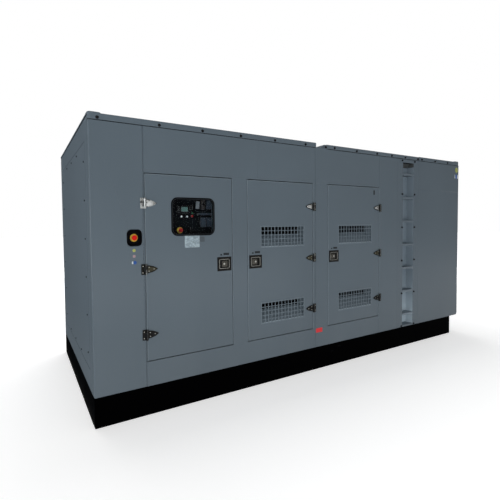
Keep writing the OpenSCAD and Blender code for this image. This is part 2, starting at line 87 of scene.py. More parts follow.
def opening(door):
    """The corners of a door's opening: the door and the gap round it."""
    gap = Vector((DOOR_GAP, 0, DOOR_GAP))
    return BOX[door][0] - gap, BOX[door][1] + gap


# ---------- materials ----------

class Value:
    """A number, colour or vector on its way through a tree of nodes."""

    def __init__(self, shading, socket):
        self.shading = shading
        self.socket = socket

    def maths(self, operation, first, second):
        return self.shading.node("ShaderNodeMath", {"operation": operation}, {0: first, 1: second})

    def __add__(self, other):
        return self.maths("ADD", self, other)

    def __radd__(self, other):
        return self.maths("ADD", other, self)

    def __sub__(self, other):
        return self.maths("SUBTRACT", self, other)

    def __rsub__(self, other):
        return self.maths("SUBTRACT", other, self)

    def __mul__(self, other):
        return self.maths("MULTIPLY", self, other)

    def __rmul__(self, other):
        return self.maths("MULTIPLY", other, self)

    def larger(self, other):
        return self.maths("MAXIMUM", self, other)

    def rise(self, low, high):
        """0 at low and beyond, 1 at high and beyond, smooth between; low may be the larger of the two."""
        return self.shading.node(
            "ShaderNodeMapRange", {"interpolation_type": "SMOOTHSTEP"}, {0: self, 1: low, 2: high})


class Shading:
    """A tree of nodes, for a material or for the surround."""

    def __init__(self, owner):
        owner.use_nodes = True
        self.tree = owner.node_tree
        self.tree.nodes.clear()

    def node(self, kind, settings=None, inputs=None, output=0):
        """Adds a node: its settings first, then the values or links of its sockets."""
        made = self.tree.nodes.new(kind)
        for key, value in (settings or {}).items():
            setattr(made, key, value)
        for key, value in (inputs or {}).items():
            socket = made.inputs[key]
            if isinstance(value, Value):
                self.tree.links.new(value.socket, socket)
            else:
                socket.default_value = (*value, 1) if socket.type == "RGBA" else value
        return Value(self, made.outputs[output]) if made.outputs else None

    def ray(self, kind):
        """1 for rays of a kind, such as Camera, and 0 for the rest."""
        return self.node("ShaderNodeLightPath", output="Is %s Ray" % kind)


class Finish(Shading):
    """A node material that reads Object coordinates."""

    def __init__(self, name):
        self.material = bpy.data.materials.new(name)
        super().__init__(self.material)
        self.place = self.node("ShaderNodeTexCoord", output="Object")

    def noise(self, scale, detail=2.0, stretch=(1, 1, 1)):
        """Cloudy noise about 0.5, with scale features a metre, drawn out where stretch is under 1."""
        place = self.node("ShaderNodeMapping", {}, {0: self.place, "Scale": stretch})
        return self.node("ShaderNodeTexNoise", {}, {"Vector": place, "Scale": scale, "Detail": detail})

    def cells(self, scale):
        """Distance to the nearest of scattered points, with scale of them a metre."""
        return self.node("ShaderNodeTexVoronoi", {}, {"Vector": self.place, "Scale": scale})

    def axis(self, letter):
        """How far along X, Y or Z a place is."""
        return self.node("ShaderNodeSeparateXYZ", {}, {0: self.place}, output=letter)

    def blend(self, factor, first, second):
        """The first colour where factor is 0 and the second where it is 1."""
        return self.node("ShaderNodeMix", {"data_type": "RGBA"}, {0: factor, 6: first, 7: second}, output=2)

    def shade(self, colour, factor):
        """A colour times a factor."""
        return self.node("ShaderNodeVectorMath", {"operation": "SCALE"}, {0: colour, "Scale": factor})

    def bump(self, height, distance):
        return self.node("ShaderNodeBump", {}, {"Height": height, "Distance": distance})

    def principled(self, **sockets):
        """A Principled shader; an underscore stands for a space in a socket's name."""
        return self.node(
            "ShaderNodeBsdfPrincipled", {}, {key.replace("_", " "): value for key, value in sockets.items()})

    def glow(self, colour, strength):
        return self.node("ShaderNodeEmission", {}, {"Color": colour, "Strength": strength})

    def made(self, shader):
        """The material, with this shader on its surface."""
        self.node("ShaderNodeOutputMaterial", {}, {"Surface": shader})
        return self.material


def enamel(name, colour, roughness=0.34, low_dust_and_light=0.10, gloss=0.14, film=(0.30, 0.30, 0.28)):
    """Sprayed enamel on sheet steel: cloudy tone, orange peel and fine specks, with a paler film low down
    that is partly settled grime and partly painted light from the floor below.
    """
    paint = Finish(name)
    cloud = paint.noise(0.9, 3)
    streaks = paint.noise(2.2, 4, (1, 1, 0.16))
    speck = paint.cells(240).rise(0.10, 0.03)
    tone = 0.87 + cloud * 0.18 + streaks * 0.08
    # Partly settled grime and partly painted light: a paler film low down stands for light from the floor
    # below
    low = paint.axis("Z").rise(0.95, DECK) * streaks
    dust_and_painted_light = low * low_dust_and_light + speck * 0.05
    coat = paint.blend(dust_and_painted_light, paint.shade(colour, tone), film)
    peel = paint.noise(420, 2) * 0.7 + paint.noise(95, 1) * 0.5
    return paint.made(paint.principled(
        Base_Color=coat, Roughness=roughness - 0.04 + cloud * 0.06 + low * 0.15,
        Specular_IOR_Level=gloss, Normal=paint.bump(peel, 0.00012)))


def skid_enamel():
    """Thick black chassis paint with shallow scuffs."""
    paint = Finish("skid_enamel")
    scuff = paint.noise(26, 5, (0.25, 1, 1.6)).rise(0.66, 0.74) * paint.noise(3.1, 2).rise(0.52, 0.66)
    peel = paint.noise(260, 3)
    return paint.made(paint.principled(
        Base_Color=paint.blend(scuff, (0.0003, 0.0003, 0.0004), (0.012, 0.012, 0.013)),
        Roughness=0.55 + paint.noise(5, 2) * 0.12, Specular_IOR_Level=0.003,
        Normal=paint.bump(peel, 0.0003)))


# A distance past every part of the set, for the wear, painted highlight or darkening that a lacquer doesn't
# have
NOWHERE = 9.0


def worn_lacquer(name, lacquer, metal, wear, highlight_above=NOWHERE, highlight_left_of=NOWHERE,
                 proud_square=NOWHERE, darker_below=-NOWHERE):
    """Lacquer over zinc, worn through in patches.

    It is painted bright as bare metal over one height and left of one place along the canopy: a painted
    highlight.
    It is worn a little where the square of the distance from the middle plane passes proud_square. It is
    darker and less bare low down.
    """
    coat = Finish(name)
    patches = coat.noise(70, 4) * 0.6 + coat.noise(22, 2) * 0.4
    bare = patches.rise(0.62 - wear, 0.70 - wear)
    height = coat.axis("Z")
    # Darker and less bare low down
    darker_low = height.rise(darker_below + 0.2, darker_below)
    # Painted highlight: bright bare metal over one height and left of one place, for the light the top hinges
    # catch
    high = height.rise(highlight_above, highlight_above + 0.02) * patches.rise(0.36, 0.50)
    high = high * coat.axis("X").rise(highlight_left_of, highlight_left_of - 0.1)
    out = coat.axis("Y")
    proud = (out * out).rise(proud_square, proud_square + 0.002) * patches.rise(0.38, 0.62) * 0.5
    wear_and_highlight = high + proud - high * proud
    metalled = (bare + wear_and_highlight - bare * wear_and_highlight) * (1 - darker_low * 0.8)
    film = coat.blend(darker_low, lacquer, (0.005, 0.005, 0.005))
    return coat.made(coat.principled(
        Base_Color=coat.blend(metalled, film, coat.shade(metal, 0.35 + patches * 1.3)),
        Metallic=metalled, Roughness=0.36 + patches * 0.2 - high * 0.08, Specular_IOR_Level=0.08,
        Normal=coat.bump(patches, 0.0006)))


def bright_metal(name, colour, roughness=0.3):
    """Zinc-plated steel with faint turning marks and dull spots."""
    metal = Finish(name)
    dull = metal.noise(160, 3)
    return metal.made(metal.principled(
        Base_Color=metal.shade(colour, 0.8 + dull * 0.4), Metallic=1.0,
        Roughness=roughness - 0.08 + dull * 0.2, Normal=metal.bump(metal.noise(900, 1), 0.00006)))


def moulded(name, colour, roughness=0.42, grain=0.00012, coarse=480, gloss=0.5):
    """Moulded plastic, rubber or powder coat: one colour with slight clouding over a fine grain."""
    plastic = Finish(name)
    cloud = plastic.noise(18, 3)
    return plastic.made(plastic.principled(
        Base_Color=plastic.shade(colour, 0.88 + cloud * 0.24), Roughness=roughness - 0.05 + cloud * 0.1,
        Specular_IOR_Level=gloss, Normal=plastic.bump(plastic.noise(coarse, 2), grain)))


def acoustic_foam():
    """Charcoal open-cell foam."""
    foam = Finish("acoustic_foam")
    pores = foam.cells(420)
    cloud = foam.noise(4, 3)
    skin = foam.shade((0.030, 0.031, 0.034), 0.7 + cloud * 0.6)
    return foam.made(foam.principled(
        Base_Color=foam.blend(pores.rise(0.15, 0.6), (0.006, 0.006, 0.007), skin),
        Roughness=0.95, Specular_IOR_Level=0.2, Normal=foam.bump(pores, 0.0016)))


def smoked_glass():
    """Lightly smoked safety glass; lamps reach what is behind it."""
    glass = Finish("smoked_glass")
    film = glass.noise(9, 3)
    tint = (0.63, 0.67, 0.69)
    pane = glass.principled(
        Base_Color=tint, Transmission_Weight=1.0, IOR=1.08, Specular_IOR_Level=0.2,
        Roughness=0.01 + film.rise(0.5, 0.9) * 0.03)
    clear = glass.node("ShaderNodeBsdfTransparent", {}, {"Color": tint})
    return glass.made(glass.node("ShaderNodeMixShader", {}, {0: glass.ray("Shadow"), 1: pane, 2: clear}))


def weathered_plate():
    """A pale plate that has weathered unevenly."""
    label = Finish("pale_plate")
    blot = label.noise(60, 4)
    return label.made(label.principled(
        Base_Color=label.blend(blot.rise(0.35, 0.7), (0.15, 0.20, 0.23), (0.30, 0.38, 0.42)),
        Roughness=0.45 + blot * 0.15, Normal=label.bump(label.noise(35, 2), 0.0008)))


def dot_display():
    """A small liquid crystal display: dot rows behind glass."""
    display = Finish("display_screen")
    rows = display.node("ShaderNodeTexWave", {"bands_direction": "Z"}, {
        "Vector": display.place, "Scale": 90.0, "Distortion": 0.0}, output=1)
    dots = rows.rise(0.3, 0.8) * display.noise(160, 2).rise(0.45, 0.6)
    return display.made(display.principled(
        Base_Color=display.blend(dots, (0.055, 0.120, 0.105), (0.032, 0.075, 0.068)),
        Roughness=0.15 + display.noise(30, 2) * 0.1))


CANOPY = enamel("canopy_enamel", (0.082, 0.106, 0.127))
# Painted light: the ladder's recess is a paler copy of the canopy's enamel, with a strong pale film low down
# for the light and reflection in its lower cells
LIT_PAN = enamel("ladder_pan_painted_light", (0.140, 0.178, 0.212), low_dust_and_light=0.9, gloss=0.3, film=(0.46, 0.55, 0.61))
# Painted light: the rungs are a lighter copy of the canopy's enamel, with a pale film low down for the lit
# tops of the lower rungs
LIT_RUNG = enamel("rung_enamel_painted_light", (0.092, 0.118, 0.141), low_dust_and_light=0.6, gloss=0.2, film=(0.25, 0.31, 0.36))
# Painted light: the grilles are a lighter copy of the canopy's enamel, for the light the bars catch
MESH = enamel("grille_enamel_painted_light", (0.104, 0.133, 0.157))
# Painted light: the baffles are a lighter copy of the canopy's enamel, for the light that reaches them
# through the grilles
LIT_BAFFLE = enamel("baffle_enamel_painted_light", (0.098, 0.127, 0.151), 0.45)
# Painted highlight: a much paler copy of the canopy's enamel, for folds and feet that catch the light
HIGHLIGHT_FOLD = enamel("fold_painted_highlight", (0.190, 0.235, 0.270))
GUTTER = enamel("gutter_enamel", (0.070, 0.090, 0.108), 0.6, gloss=0.03)
# Painted shade: a dark copy of the canopy's enamel for the shaded top of the ladder's recess
SHADED_HOOD = enamel("hood_enamel_painted_shade", (0.052, 0.057, 0.058), 0.5, gloss=0.06)
SKID = skid_enamel()
# The top hinges' bright metal is a painted highlight; the hinges are drawn darker low down
HINGE = worn_lacquer(
    "hinge_lacquer", (0.005, 0.005, 0.004), (0.25, 0.26, 0.26), -0.14,
    highlight_above=1.62, highlight_left_of=-1.9, proud_square=0.994, darker_below=0.8)
OLIVE = worn_lacquer(
    "olive_lacquer", (0.036, 0.034, 0.022), (0.34, 0.35, 0.35), -0.10, highlight_above=1.62, darker_below=0.8)
LOCK = worn_lacquer("lock_lacquer", (0.004, 0.004, 0.004), (0.18, 0.17, 0.15), -0.16)
ZINC = bright_metal("bright_zinc", (0.50, 0.49, 0.45))
NICKEL = bright_metal("dull_nickel", (0.27, 0.27, 0.25), 0.34)
BRONZE = bright_metal("dark_bronze", (0.050, 0.048, 0.042), 0.42)
BOLT = worn_lacquer("bolt_lacquer", (0.004, 0.004, 0.005), (0.12, 0.12, 0.12), -0.16)
RUBBER = moulded("black_rubber", (0.0025, 0.0025, 0.003), 0.6, 0.0003, 260, 0.004)
GLASS = smoked_glass()
FOAM = acoustic_foam()
HOUSING = moulded("black_plastic", (0.0025, 0.0025, 0.003), 0.4, gloss=0.012)
YELLOW = moulded("yellow_plastic", (0.44, 0.28, 0.035), 0.4, gloss=0.1)
RED = moulded("red_plastic", (0.44, 0.006, 0.005), 0.3, gloss=0.1)
DEEP_RED = moulded("deep_red_plastic", (0.34, 0.014, 0.014), 0.35, gloss=0.1)
LENS = moulded("clear_white_lens", (0.82, 0.84, 0.84), 0.3, gloss=0.2)
GREEN = moulded("green_plastic", (0.02, 0.11, 0.05), 0.3, gloss=0.1)
WHITE = moulded("white_plastic", (0.46, 0.50, 0.51), 0.35, gloss=0.2)
GREY = moulded("grey_plastic", (0.060, 0.062, 0.062), 0.5, gloss=0.1)
BLUE = moulded("blue_plastic", (0.027, 0.035, 0.047), 0.45, gloss=0.1)
BROWN = moulded("brown_plastic", (0.028, 0.023, 0.022), 0.45, gloss=0.1)
CABINET = moulded("cabinet_powder_coat", (0.003, 0.004, 0.005), 0.55, 0.0002, 900, 0.01)
STAND = enamel("stand_enamel", (0.05, 0.055, 0.06), 0.5)
PAPER = moulded("paper_tag", (0.155, 0.165, 0.175), 0.8, 0.0002, 700, 0.1)
LABEL = weathered_plate()
DISPLAY = dot_display()
LIME = moulded("lime_disc", (0.30, 0.33, 0.10), 0.4, gloss=0.1)
PINK = moulded("pink_plate", (0.30, 0.21, 0.23), 0.4, gloss=0.1)
COBALT = moulded("cobalt_disc", (0.025, 0.075, 0.24), 0.4, gloss=0.1)
SIGNAL_RED = moulded("signal_red_plate", (0.56, 0.035, 0.04), 0.35, gloss=0.1)
STRIP = moulded("dark_strip", (0.020, 0.023, 0.026), 0.5, gloss=0.05)
FAINT = moulded("faint_plate", (0.062, 0.076, 0.088), 0.5, gloss=0.1)


def finish_frame():
    """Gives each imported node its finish, and a small round on its edges."""
    finishes = {name: (CANOPY, 0.0015) for name in NODES}
    for part_of_name, material, edge in (
            ("grilles", MESH, 0.0006), ("baffles", LIT_BAFFLE, 0.0006), ("corner_", CANOPY, 0.007),
            ("roof_pan", CANOPY, 0.011), ("base_", SKID, 0.005), ("hinge", HINGE, 0.0012),
            ("_lock", LOCK, 0.0012)):
        finishes.update({name: (material, edge) for name in NODES if part_of_name in name})
    finishes.update({
        "door_1": (CANOPY, 0.0028), "door_2": (CANOPY, 0.0028), "door_3": (CANOPY, 0.0028),
        "ladder_cheeks": (LIT_PAN, 0.0012), "ladder_back": (LIT_PAN, 0.0012),
        "ladder_flanges": (CANOPY, 0.0012), "ladder_rungs": (LIT_RUNG, 0.0015),
        "roof_gutter": (GUTTER, 0.001), "deck_plate": (SKID, 0.001),
        "window_rubber": (RUBBER, 0.0018), "window_glass": (GLASS, 0.0006),
        "stop_housing": (HOUSING, 0.0022), "stop_collar": (YELLOW, 0.0012), "stop_button": (RED, 0.004),
        "control_cabinet": (CABINET, 0.003), "control_stand": (STAND, 0.003)})
    weld = 0.00002
    for name, node in NODES.items():
        material, edge = finishes[name]
        node.data.materials.clear()
        node.data.materials.append(material)
        node.data.shade_smooth()
        node.modifiers.new("Weld", "WELD").merge_threshold = weld
        rounding(node, edge)
        node.modifiers.new("WeightedNormal", "WEIGHTED_NORMAL").keep_sharp = True


# ---------- modelling tools ----------

def deselect():
    bpy.ops.object.select_all(action="DESELECT")


def choose(piece):
    """Makes a piece the only one selected, and the active one."""
    deselect()
    piece.select_set(True)
    bpy.context.view_layer.objects.active = piece


def settle(piece, name):
    """Names a piece and puts its place into its mesh."""
    piece.name = name
    choose(piece)
    bpy.ops.object.transform_apply(location=True, rotation=True, scale=True)
    return piece


def block(name, low, high):
    """A block between two corners."""
    deselect()
    low, high = Vector(low), Vector(high)
    bpy.ops.mesh.primitive_cube_add(size=1, location=(low + high) / 2)
    piece = bpy.context.object
    piece.scale = high - low
    return settle(piece, name)


def disc(name, radius, height, sides=24):
    """A round bar that stands on the origin."""
    deselect()
    bpy.ops.mesh.primitive_cylinder_add(
        vertices=sides, radius=radius, depth=height, location=(0, 0, height / 2))
    return settle(bpy.context.object, name)


class Edit:
    """Edit mode on one piece, where faces and edges are picked by a test."""

    def __init__(self, piece):
        self.piece = piece

    def __enter__(self):
        choose(self.piece)
        bpy.ops.object.mode_set(mode="EDIT")
        return self

    def __exit__(self, *_):
        bpy.ops.object.mode_set(mode="OBJECT")

    def pick(self, kind, test):
        """Selects the faces or edges that pass a test."""
        bpy.ops.mesh.select_mode(type=kind)
        bpy.ops.mesh.select_all(action="DESELECT")
        mesh = bmesh.from_edit_mesh(self.piece.data)
        for item in (mesh.faces if kind == "FACE" else mesh.edges):
            item.select_set(test(item))
        bmesh.update_edit_mesh(self.piece.data)

    def facing(self, *directions):
        """Picks the faces that point one of these ways."""
        wanted = [Vector(direction) for direction in directions]
        nearly = 0.95
        self.pick("FACE", lambda face: any(face.normal.dot(way) > nearly for way in wanted))

    def along(self, axis):
        """Picks the edges that run along an axis."""
        nearly = 0.99
        self.pick("EDGE", lambda edge: abs((edge.verts[1].co - edge.verts[0].co).normalized()[axis]) > nearly)

    def step(self, inset, move):
        """Insets the picked faces and moves what is inside."""
        bpy.ops.mesh.inset(thickness=inset)
        bpy.ops.transform.translate(value=move)

    def round_along(self, axis, radius, segments):
        """Rounds the edges that run along an axis."""
        self.along(axis)
        bpy.ops.mesh.bevel(offset=radius, segments=segments)

    def hollow(self, border, *directions):
        """Cuts through between the faces that point these ways, and leaves a border round them."""
        self.facing(*directions)
        bpy.ops.mesh.inset(thickness=border)
        bpy.ops.mesh.bridge_edge_loops()


def turned(name, radius, height, *steps, sides=24):
    """A disc whose top goes in and up, once for each (inset, rise)."""
    piece = disc(name, radius, height, sides)
    with Edit(piece) as edit:
        for inset, rise in steps:
            edit.facing((0, 0, 1))
            edit.step(inset, (0, 0, rise))
    return piece


def rounding(piece, width):
    """A modifier that rounds a piece's sharp edges."""
    made = piece.modifiers.new("Bevel", "BEVEL")
    made.width = width
    made.segments = 2
    made.limit_method = "ANGLE"
    made.angle_limit = SHARP
    return made


def soften(piece, width):
    """Rounds a piece's sharp edges for good."""
    choose(piece)
    bpy.ops.object.modifier_apply(modifier=rounding(piece, width).name)
    return piece


def plate(name, low, high, corner, edge=0.0006, curve=5):
    """A flat plate with round corners and a soft rim; corner and edge are their radii."""
    size = Vector(high) - Vector(low)
    thin = min(range(3), key=lambda axis: size[axis])
    piece = block(name, low, high)
    with Edit(piece) as edit:
        edit.round_along(thin, corner, curve)
    return soften(piece, edge)


def upright_frame(name, low, high, border, corner=0.0, edge=0.001):
    """A frame in the plane of the wall, its border as wide all round."""
    piece = block(name, low, high)
    with Edit(piece) as edit:
        if corner:
            edit.round_along(1, corner, 7)
        edit.hollow(border, (0, -1, 0), (0, 1, 0))
    return soften(piece, edge)


def join(name, parts):
    """Several pieces as one."""
    choose(parts[0])
    for part in parts[1:]:
        part.select_set(True)
    if len(parts) > 1:
        bpy.ops.object.join()
    return settle(parts[0], name)


def copies(master, name, places, turn=Matrix()):
    """Copies of a master, turned and set at each place, as one piece."""
    made = []
    for place in places:
        copy = bpy.data.objects.new(name, master.data.copy())
        copy.matrix_world = Matrix.Translation(place) @ turn
        bpy.context.collection.objects.link(copy)
        made.append(copy)
    return join(name, made)


def fit(piece, material, body="canopy"):
    """Gives a piece its finish and the body that it rides on."""
    piece.data.materials.clear()
    piece.data.materials.append(material)
    choose(piece)
    bpy.ops.object.shade_smooth_by_angle(angle=SMOOTH)
    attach(piece, body)
    return piece


def run(start, step, count):
    """Evenly spaced places."""
    return [start + step * i for i in range(count)]


def scrap(*masters):
    """Deletes pieces that were only there to be copied."""
    for master in masters:
        bpy.data.objects.remove(master)


# ---------- bolts and screws ----------

def flange_bolt():
    """A hexagon head on a round flange."""
    flange = turned("flange", 0.0125, 0.0022, (0.0035, 0.0018))
    head = turned("head", 0.0088, 0.0105, (0.0016, 0.0011), sides=6)
    return join("flange_bolt", [flange, head])


def cover_screw():
    """A low hexagon head without a flange."""
    return turned("cover_screw", 0.0078, 0.0036, (0.0014, 0.0009), sides=6)


def button_screw():
    """A low domed screw with a socket."""
    dome, socket = ((0.0010, 0.0008), (0.0012, 0.0002)), (0.0002, -0.0008)
    return turned("button_screw", 0.0042, 0.0012, *dome, socket, sides=18)


def roof_bolts(bolt):
    """Bolts through the roof pans' front and rear edges; distances from the canopy's left end."""
    first = [0.069, *run(0.557, 0.394, 5)]
    second = [2.419, *run(2.55, 0.348, 3), *run(3.518, 0.261, 3)]
    third = run(4.126, 0.292, 3)
    below_top = 0.031
    front, rear = ([(LEFT + x, plane.y, ROOF_TOP - below_top) for x in (*first, *second, *third)]
                   for plane in BOX["roof_pan_1"])
    fit(copies(bolt, "roof_bolts_front", front, OUT_FRONT), BOLT)
    fit(copies(bolt, "roof_bolts_rear", rear, OUT_REAR), BOLT)


def ladder_bolts(bolt):
    """Two rows of bolts that hold the ladder's flanges."""
    low, high = BOX["ladder_flanges"]
    inset, foot, head, count = 0.030, 0.015, 0.023, 6
    levels = run(low.z + foot, (high.z - head - low.z - foot) / (count - 1), count)
    places = [(x, FRONT, z) for x in (low.x + inset, high.x - inset) for z in levels]
    fit(copies(bolt, "ladder_bolts", places, OUT_FRONT), BOLT)


def cover_screws(screw, node, plane, turn):
    """Hexagon screws round an end cover, six up each side and three along the top and the bottom."""
    low, high = BOX[node]
    side, foot, head = 0.065, 0.030, 0.035
    levels, across = run(low.z + 0.12, 0.308, 6), run(low.y + 0.445, 0.37, 3)
    places = [(plane, y, z) for y in (low.y + side, high.y - side) for z in levels]
    places += [(plane, y, z) for z in (low.z + foot, high.z - head) for y in across]
    fit(copies(screw, node + "_bolts", places, turn), BOLT)


def leaf_face(way):
    """The raised middle of a pointed leaf, from the hinge's axis; way is 1 when it points right."""
    root, tip, half, thick = way * 0.017, way * 0.088, 0.025, 0.0012
    face = block("leaf_face", (min(root, tip), -half, 0), (max(root, tip), half, thick))
    with Edit(face) as edit:
        edit.pick("EDGE", lambda edge: all(abs(vert.co.x - tip) < 0.001 for vert in edge.verts))
        bpy.ops.transform.resize(value=(1, 0.26, 1))
        edit.round_along(2, 0.006, 3)
    return soften(face, 0.0005)


def hinge_details(screw):
    """Raised faces and screws on every hinge leaf."""
    wall_screws, wall_plates = [], []
    leaf_face_y = FRONT - LEAF_T
    wall_x, wall_dz, wall_face_t, door_face_t = 0.0245, 0.026, 0.0008, 0.0010
    for door, body, way in DOORS:
        low, high = BOX[door]
        axis = low.x - DOOR_GAP / 2 if way > 0 else high.x + DOOR_GAP / 2
        wall_plates += [(axis - way * wall_x, leaf_face_y, z) for z in HINGE_Z]
        wall_screws += [(axis - way * wall_x, leaf_face_y - wall_face_t, z + dz)
                        for z in HINGE_Z for dz in (-wall_dz, wall_dz)]
        face = leaf_face(way)
        faces = copies(face, door + "_hinge_faces", [(axis, leaf_face_y, z) for z in HINGE_Z], OUT_FRONT)
        fit(faces, OLIVE, body)
        on_door = [(axis + way * dx, leaf_face_y - door_face_t, z + dz) for z in HINGE_Z
                   for dx, dz in ((0.026, -0.015), (0.026, 0.015), (0.068, 0.0))]
        fit(copies(screw, door + "_hinge_screws", on_door, OUT_FRONT), NICKEL, body)
        scrap(face)
    plain = plate("plain", (-0.0085, -0.036, 0), (0.0085, 0.036, 0.0009), 0.003, 0.0004)
    fit(copies(plain, "wall_hinge_faces", wall_plates, OUT_FRONT), HINGE)
    fit(copies(screw, "wall_hinge_screws", wall_screws, OUT_FRONT), NICKEL)
    scrap(plain)


# ---------- locks ----------

def lock_trim(box, way, out, name, body):
    """The bright rim, paddle face, key barrel and strip of one lock; way is 1 with hinges on the left."""
    low, high = box
    middle = (low + high) / 2
    turn = Matrix.Translation((middle.x, FRONT if out == OUT_FRONT else REAR, middle.z)) @ out
    # Worked flat, with +Z outwards, then turned into place
    side = way if out == OUT_FRONT else -way
    rim = block("rim", (-0.052, -0.0425, -0.004), (0.052, 0.0425, 0.0042))
    with Edit(rim) as edit:
        edit.round_along(2, 0.010, 4)
        edit.hollow(0.0032, (0, 0, 1), (0, 0, -1))
    soften(rim, 0.0010)
    barrel = turned("barrel", 0.0095, 0.0020, (0.0018, 0.0012), (0.0012, -0.0006))
    face_low, face_high = sorted((side * -0.020, side * 0.036))
    face = plate("face", (face_low, -0.027, -0.0032), (face_high, 0.027, -0.0018), 0.006)
    strip = plate("strip", (-0.008, 0.079, 0), (0.052, 0.099, 0.0006), 0.002, 0.0002)
    square = plate("square", (-0.040, 0.077, 0), (-0.022, 0.091, 0.0006), 0.002, 0.0002)
    bright = join(name + "_rim", [rim, barrel])
    dark = join(name + "_strip", [strip, square])
    for piece, material in ((bright, NICKEL), (settle(face, name + "_paddle_face"), BRONZE), (dark, STRIP)):
        piece.matrix_world = turn
        fit(settle(piece, piece.name), material, body)


def lock_trims():
    """Every door's lock; the rear doors mirror the front ones."""
    for door, body, way in DOORS:
        low, high = BOX[door + "_lock"]
        lock_trim((low, high), way, OUT_FRONT, door + "_lock", body)
        mirrored = (Vector((low.x, -high.y, low.z)), Vector((high.x, -low.y, high.z)))
        lock_trim(mirrored, way, OUT_REAR, "rear_" + door + "_lock", "canopy")


# ---------- walls ----------

def seam_beads():
    """Folded edges along the front wall's panel seams, which show as fine raised lines."""
    lines = []
    half, back, proud, faint = 0.0028, FRONT + 0.003, 0.0014, 0.0008
    low_z, high_z = BOX["corner_panel_left"][0].z + 0.001, WALL_TOP - 0.001
    beside = 0.001
    for x in (BOX["corner_panel_left"][1].x + beside, BOX["mid_panel"][0].x - beside,
              BOX["ladder_surround"][0].x - beside, BOX["ladder_flanges"][0].x - beside,
              BOX["ladder_flanges"][1].x + beside, BOX["corner_panel_right"][0].x - beside,
              BOX["roof_pan_1"][1].x - beside):
        lines.append(((x - half, FRONT - proud, low_z), (x + half, back, high_z)))
    header_low, header_high = BOX["front_header"]
    split = LEFT + 1.534
    lines.append(((split - half, FRONT - faint, header_low.z + 0.004),
                  (split + half, back, header_high.z - 0.002)))
    lines.append(((BOX["corner_panel_right"][0].x + 0.03, FRONT - faint, header_low.z - half),
                  (RIGHT - 0.01, back, header_low.z + half)))
    beads = [soften(block("bead", *line), 0.0013) for line in lines]
    fit(join("seam_beads", beads), CANOPY)


def corner_caps():
    """Doubling plates over the roof's corners."""
    caps = []
    reach, margin, sunk, proud = 0.105, 0.002, 0.001, 0.010
    low, high = BOX["roof_pan_1"][0], BOX["roof_pan_3"][1]
    for x in (low.x + margin, high.x - margin - reach):
        for y in (low.y + margin, high.y - margin - reach):
            far = (x + reach, y + reach, ROOF_TOP + proud)
            caps.append(plate("cap", (x, y, ROOF_TOP - sunk), far, corner=0.028, edge=0.009))
    fit(join("roof_corner_caps", caps), CANOPY)


def roof_gasket_shade_lines():
    """A black rubber gasket under each roof pan, and under the roof's edge at the ends; its dark line also
    stands for the shadow under the roof's edge, as painted shade.
    """
    lines = []
    thick, proud, clear, inset = 0.0045, 0.0022, 0.0002, 0.03
    for pan in ROOF_PANS:
        start, end = max(BOX[pan][0].x, LEFT), min(BOX[pan][1].x, RIGHT)
        for y in (FRONT, REAR):
            lines.append(((start, y - proud, WALL_TOP - thick), (end, y + proud, WALL_TOP - clear)))
    top = BOX["left_end_wall"][1].z
    for x in (LEFT, RIGHT):
        lines.append(((x - proud, FRONT + inset, top - thick), (x + proud, REAR - inset, top - clear)))
    gaskets = [soften(block("line", *line), 0.0006) for line in lines]
    fit(join("roof_gasket_shade_lines", gaskets), RUBBER)


def ladder_hood():
    """The sloping sheet that closes the top of the ladder's recess, in a dark copy of the canopy's paint:
    painted shade.
    """
    low, high = BOX["ladder_back"]
    top, front, slope, sheet = WALL_TOP - 0.046, FRONT + 0.050, 0.040, 0.003
    hood = block("ladder_hood", (low.x + 0.001, front, high.z), (high.x - 0.001, high.y, top))
    with Edit(hood) as edit:
        edit.pick("EDGE", lambda edge: all(
            vert.co.z < high.z + 0.001 and vert.co.y < front + 0.001 for vert in edge.verts))
        bpy.ops.transform.translate(value=(0, slope, 0))
    gussets = [soften(block("gusset", (x, FRONT + 0.004, high.z), (x + sheet, high.y, top)), 0.0006)
               for x in (low.x, high.x - sheet)]
    fit(join("ladder_hood", [soften(hood, 0.0015)] + gussets), SHADED_HOOD)


def frame_folds():
    """The folded edges of the door openings, which narrow the gap round each door, and of the doors. The
    folds on the openings' right sides and on the doors' left and top edges are painted pale: a painted
    highlight.
    """
    folds, bright = [], []
    fold, edge = 0.0029, 0.0009
    front, door_front, back = FRONT + 0.0003, FRONT - 0.0004, FRONT + 0.0046
    for door, body, _ in DOORS:
        low, high = opening(door)
        folds.append(block("fold", (low.x, front, low.z), (low.x + fold, back, high.z)))
        # Painted highlight: the fold on the opening's right side is pale
        bright.append(block("fold", (high.x - fold, front, low.z), (high.x, back, high.z)))
        folds.append(block("fold", (low.x, front, low.z), (high.x, back, low.z + fold)))
        low, high = BOX[door]
        # Painted highlight: pale folds on the door's left and top edges
        edges = [soften(block("edge", (low.x, door_front, low_z), (high_x, back, high.z)), edge)
                 for low_z, high_x in ((low.z, low.x + fold), (high.z - fold, high.x))]
        fit(join(door + "_edge_folds", edges), HIGHLIGHT_FOLD, body)
    for part in folds + bright:
        soften(part, edge)
    fit(join("frame_folds", folds), CANOPY)
    fit(join("right_side_folds", bright), HIGHLIGHT_FOLD)


